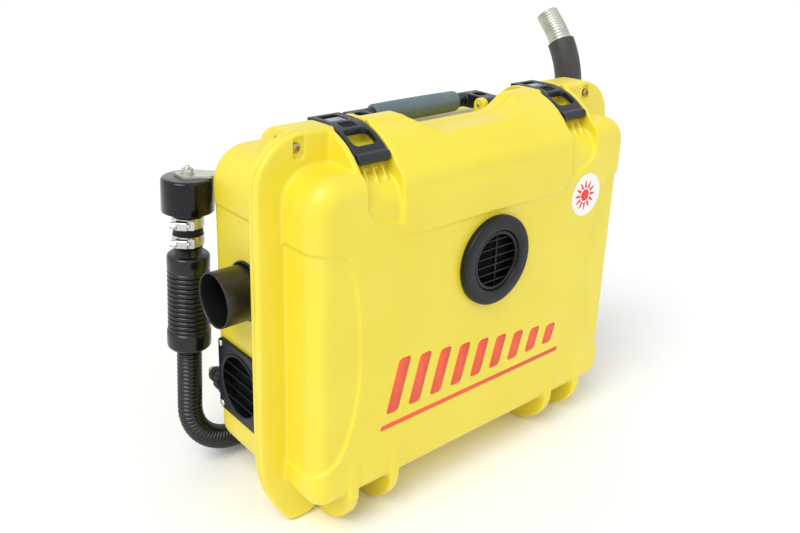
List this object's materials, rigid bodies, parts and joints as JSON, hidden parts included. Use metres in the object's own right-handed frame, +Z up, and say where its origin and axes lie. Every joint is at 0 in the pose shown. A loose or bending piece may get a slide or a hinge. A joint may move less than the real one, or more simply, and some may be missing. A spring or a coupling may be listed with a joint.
{
  "type": "diesel air heater",
  "caption": "Portable diesel air heater in an upright moulded equipment case, with a hot-air duct outlet, intake grille and silencer, exhaust riser, latches and a folding carrying handle.",
  "frame": {"origin": "middle of the bounding box at the ground plane under the foot ribs", "axes": "+X across the case towards the exhaust side, +Y from the lid towards the back wall, +Z up"},
  "size_m": [0.6076, 0.248, 0.5241],
  "materials": {
    "case_yellow": "moulded satin yellow",
    "slate_plastic": "satin slate",
    "grey_plastic": "satin grey",
    "black_plastic": "satin black",
    "gloss_black": "gloss black",
    "hose_black": "ribbed black",
    "rubber": "matt",
    "steel": "plain",
    "cast_alloy": "as cast",
    "brass": "plain"
  },
  "bodies": {
    "base": {"base_shell": "case_yellow", "bracket_screw": "steel", "burner_tube": "steel", "cap_bolt": "steel", "casing_lower": "black_plastic", "casing_upper": "black_plastic", "control_unit": "black_plastic", "delivery_line": "black_plastic", "exhaust_clip": "steel", "exhaust_flange": "steel", "exhaust_flex": "steel", "exhaust_inner": "steel", "exhaust_riser": "steel", "exhaust_sleeve": "rubber", "fan_guard": "black_plastic", "fan_motor": "steel", "fuel_barb": "brass", "fuel_connector": "black_plastic", "fuel_pump": "steel", "glow_plug": "steel", "grille_screw_1": "steel", "grille_screw_2": "steel", "grille_screw_3": "steel", "grille_screw_4": "steel", "handle_pin_left": "steel", "handle_pin_right": "steel", "heat_exchanger": "cast_alloy", "hinge_pin_left": "steel", "hinge_pin_right": "steel", "hose_clamp_lower": "steel", "hose_clamp_upper": "steel", "inlet_grille": "black_plastic", "intake_bracket": "steel", "intake_can": "gloss_black", "intake_elbow": "black_plastic", "intake_hose": "hose_black", "intake_inner": "black_plastic", "intake_silencer": "hose_black", "mounting_plate": "steel", "outlet_collar": "black_plastic", "outlet_duct": "black_plastic", "outlet_nozzle": "black_plastic", "pump_mount": "rubber", "rim_seal": "rubber", "rubber_sleeve": "rubber", "supply_line": "black_plastic"},
    "lid": {"lid_shell": "case_yellow", "latch_pin_left": "steel", "latch_pin_right": "steel", "padlock_screw_left": "steel", "padlock_screw_right": "steel", "vent_ring": "slate_plastic"},
    "latch_left": {"latch_left": "slate_plastic"},
    "latch_right": {"latch_right": "slate_plastic"},
    "slide_left": {"latch_slide_left": "grey_plastic"},
    "slide_right": {"latch_slide_right": "grey_plastic"},
    "handle": {"handle_frame": "slate_plastic", "handle_grip": "grey_plastic"},
    "lid_grille": {"vent_grille": "slate_plastic"},
    "fan": {"fan_wheel": "black_plastic"}
  },
  "joints": [
    {"name": "lid_hinge", "type": "hinge", "parent": "base", "child": "lid", "pos_m": [-0.00749, -0.053, 0.006], "axis": [1, 0, 0], "range_deg": [0, 100]},
    {"name": "latch_left_hinge", "type": "hinge", "parent": "lid", "child": "latch_left", "pos_m": [-0.1645, -0.09158, 0.41783], "axis": [1, 0, 0], "range_deg": [0, 100]},
    {"name": "slide_left_travel", "type": "slide", "parent": "latch_left", "child": "slide_left", "axis": [0, 1, 0], "range_m": [0, 0.007]},
    {"name": "latch_right_hinge", "type": "hinge", "parent": "lid", "child": "latch_right", "pos_m": [0.1495, -0.09158, 0.41783], "axis": [1, 0, 0], "range_deg": [0, 100]},
    {"name": "slide_right_travel", "type": "slide", "parent": "latch_right", "child": "slide_right", "axis": [0, 1, 0], "range_m": [0, 0.007]},
    {"name": "handle_hinge", "type": "hinge", "parent": "base", "child": "handle", "pos_m": [-0.00749, -0.019, 0.427], "axis": [1, 0, 0], "range_deg": [0, 100]},
    {"name": "lid_grille_turn", "type": "hinge", "parent": "lid", "child": "lid_grille", "pos_m": [-0.00249, -0.118, 0.277], "axis": [0, 1, 0], "continuous": true},
    {"name": "fan_spin", "type": "hinge", "parent": "base", "child": "fan", "pos_m": [0.05251, -0.003, 0.266], "axis": [1, 0, 0], "continuous": true}
  ]
}
